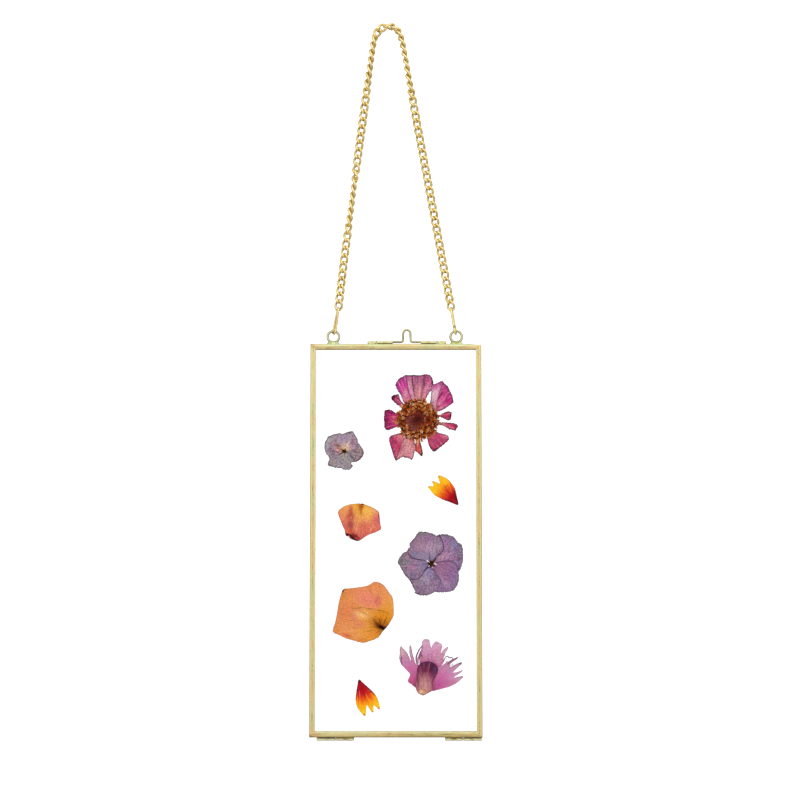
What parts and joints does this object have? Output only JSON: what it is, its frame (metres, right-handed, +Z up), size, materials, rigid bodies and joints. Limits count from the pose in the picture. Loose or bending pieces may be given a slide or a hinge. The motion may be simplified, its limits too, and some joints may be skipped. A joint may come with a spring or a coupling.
{
  "type": "pressed flower frame",
  "caption": "Tall hanging frame of two hinged brass-edged glass leaves with dried flowers pressed between the panes, hung on a twisted curb chain.",
  "frame": {"origin": "the point on the underside of the chain's bend that bears on the hook", "axes": "+Z up, +X to the right of the opening front leaf, +Y out of the back; the front faces -Y"},
  "size_m": [0.1, 0.0067, 0.4223],
  "materials": {
    "polished_brass": "polished pale brass with solder at the joints",
    "chain_brass": "bright yellow brass wire",
    "pin_wire": "drawn wire",
    "clear_glass": "clear sheet glass",
    "dried_pink_petal": "matt dried petal, magenta to dusty rose",
    "dried_disc_florets": "matt dried florets, rust brown to gold",
    "dried_lilac_sepal": "matt dried sepal, greyed lilac",
    "dried_purple_sepal": "matt dried sepal, mauve",
    "dried_flower_heart": "matt dried flower heart, dark brown",
    "dried_rose_petal": "matt dried petal, orange to dusky pink",
    "dried_ray_floret": "matt dried ray floret, crimson to yellow",
    "dried_fringed_petal": "matt dried petal, mauve pink",
    "dried_calyx": "matt dried calyx, plum to cream"
  },
  "bodies": {
    "chain": {"chain": "chain_brass", "long_link_left": "chain_brass", "long_link_right": "chain_brass"},
    "back_leaf": {"back_pane": "clear_glass", "back_rail_bottom": "polished_brass", "back_rail_left": "polished_brass", "back_rail_right": "polished_brass", "back_rail_top": "polished_brass", "eye_ring_left": "polished_brass", "eye_ring_right": "polished_brass", "fringed_calyx": "dried_calyx", "fringed_petal_left": "dried_fringed_petal", "fringed_petal_right": "dried_fringed_petal", "fringed_petal_top": "dried_fringed_petal", "hinge_knuckle_back_left": "polished_brass", "hinge_knuckle_back_right": "polished_brass", "hinge_pin_left": "pin_wire", "hinge_pin_right": "pin_wire", "latch_spring": "polished_brass", "latch_tube_back_left": "polished_brass", "latch_tube_back_right": "polished_brass", "lilac_heart": "dried_flower_heart", "lilac_sepal_bottom": "dried_lilac_sepal", "lilac_sepal_left": "dried_lilac_sepal", "lilac_sepal_right": "dried_lilac_sepal", "lilac_sepal_upper": "dried_lilac_sepal", "purple_heart": "dried_flower_heart", "purple_sepal_bottom": "dried_purple_sepal", "purple_sepal_left": "dried_purple_sepal", "purple_sepal_lower_right": "dried_purple_sepal", "purple_sepal_upper_left": "dried_purple_sepal", "purple_sepal_upper_right": "dried_purple_sepal", "ray_floret_lower": "dried_ray_floret", "ray_floret_upper": "dried_ray_floret", "rose_petal_large": "dried_rose_petal", "rose_petal_small": "dried_rose_petal", "zinnia_disc": "dried_disc_florets", "zinnia_petal_bottom_left": "dried_pink_petal", "zinnia_petal_bottom_narrow": "dried_pink_petal", "zinnia_petal_bottom_pale": "dried_pink_petal", "zinnia_petal_left": "dried_pink_petal", "zinnia_petal_lower_right": "dried_pink_petal", "zinnia_petal_right_small": "dried_pink_petal", "zinnia_petal_right_thin": "dried_pink_petal", "zinnia_petal_top_dusky": "dried_pink_petal", "zinnia_petal_top_left": "dried_pink_petal", "zinnia_petal_top_pale": "dried_pink_petal", "zinnia_petal_top_right": "dried_pink_petal", "zinnia_petal_upper_left_small": "dried_pink_petal", "zinnia_petal_upper_right": "dried_pink_petal", "zinnia_petal_upper_right_pale": "dried_pink_petal"},
    "front_leaf": {"front_pane": "clear_glass", "front_rail_bottom": "polished_brass", "front_rail_left": "polished_brass", "front_rail_right": "polished_brass", "front_rail_top": "polished_brass", "hinge_knuckle_front_left": "polished_brass", "hinge_knuckle_front_right": "polished_brass", "latch_tube_front_left": "polished_brass", "latch_tube_front_right": "polished_brass"}
  },
  "joints": [
    {"name": "frame_swing", "type": "hinge", "parent": "chain", "child": "back_leaf", "pos_m": [0.00335, 0, -0.1802], "axis": [1, 0, 0], "range_deg": [-75, 75]},
    {"name": "front_leaf_open", "type": "hinge", "parent": "back_leaf", "child": "front_leaf", "pos_m": [0.004, -0.0008, -0.4172], "axis": [1, 0, 0], "range_deg": [0, 210]}
  ]
}
